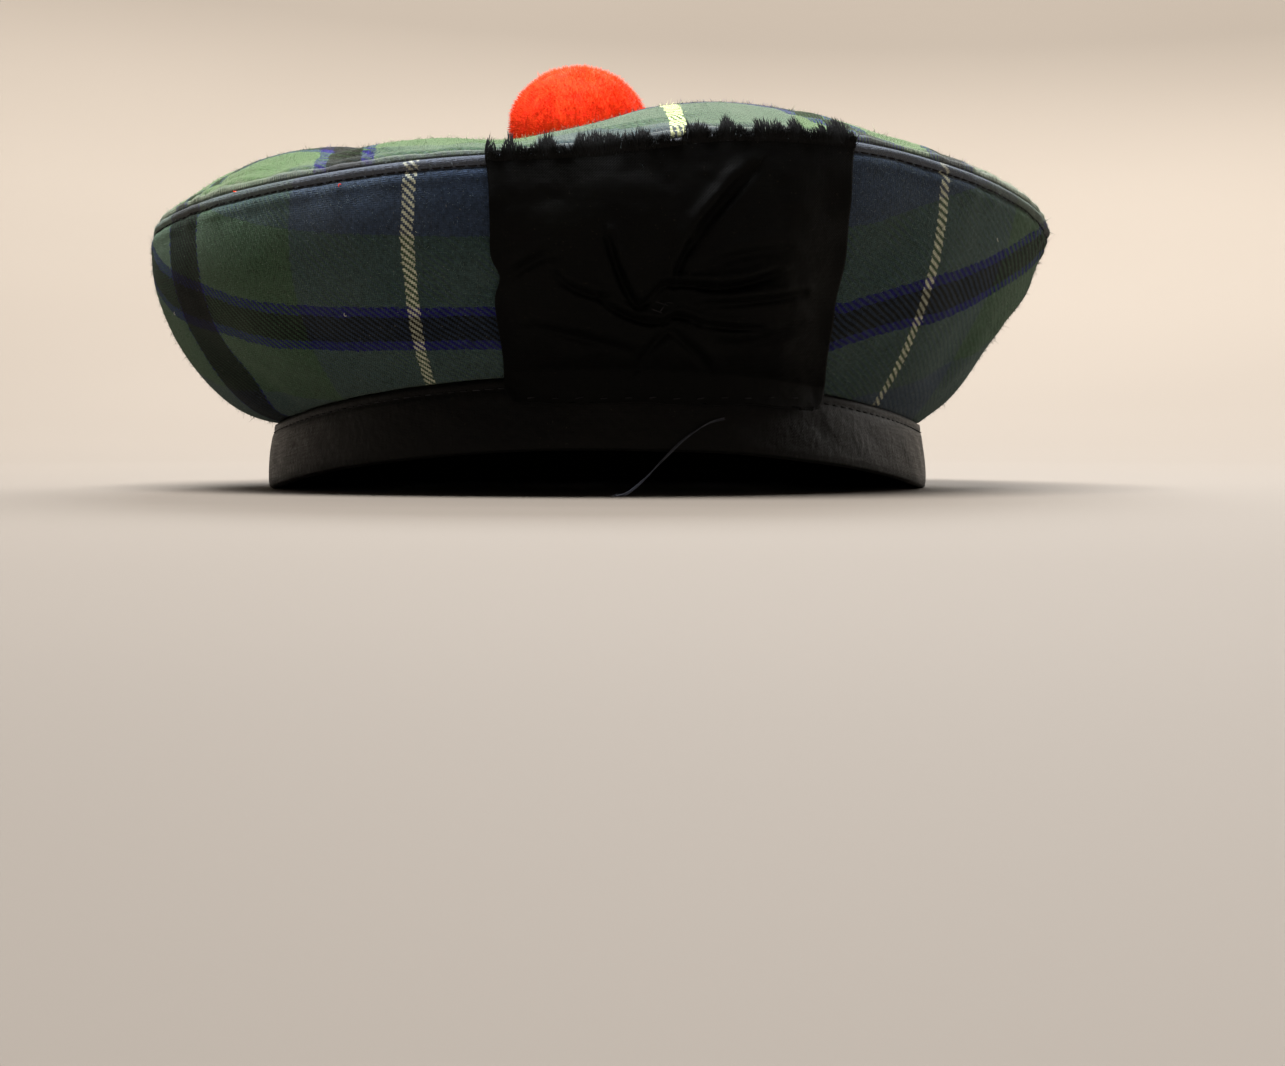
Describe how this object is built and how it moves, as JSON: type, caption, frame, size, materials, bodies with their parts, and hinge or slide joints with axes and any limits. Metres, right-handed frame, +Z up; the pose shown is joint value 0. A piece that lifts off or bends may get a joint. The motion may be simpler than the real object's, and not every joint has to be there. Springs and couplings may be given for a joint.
{
  "type": "tam o' shanter hat",
  "caption": "Soft tartan bonnet with a puffed crown, a bound headband, a gathered ribbon cockade on the front and a wool pompom on top.",
  "frame": {"origin": "on the surface that the hat rests on, under the middle of its box", "axes": "+Z up; -Y towards the front, where the cockade is; +X towards the viewer's right when looking at the cockade"},
  "size_m": [0.2276, 0.2336, 0.1078],
  "materials": {
    "tartan_wool": "napped twill wool in a blue, green and black check with thin white lines",
    "black_binding": "satin ribbon binding with a dull sheen",
    "cockade_ribbon": "plain-woven ribbon, gathered, with a frayed top edge",
    "pompom_wool": "fuzzy clipped wool yarn"
  },
  "bodies": {
    "root": {"crown_top": "tartan_wool", "crown_side": "tartan_wool", "headband": "black_binding", "cockade": "cockade_ribbon", "pompom": "pompom_wool"}
  },
  "joints": []
}
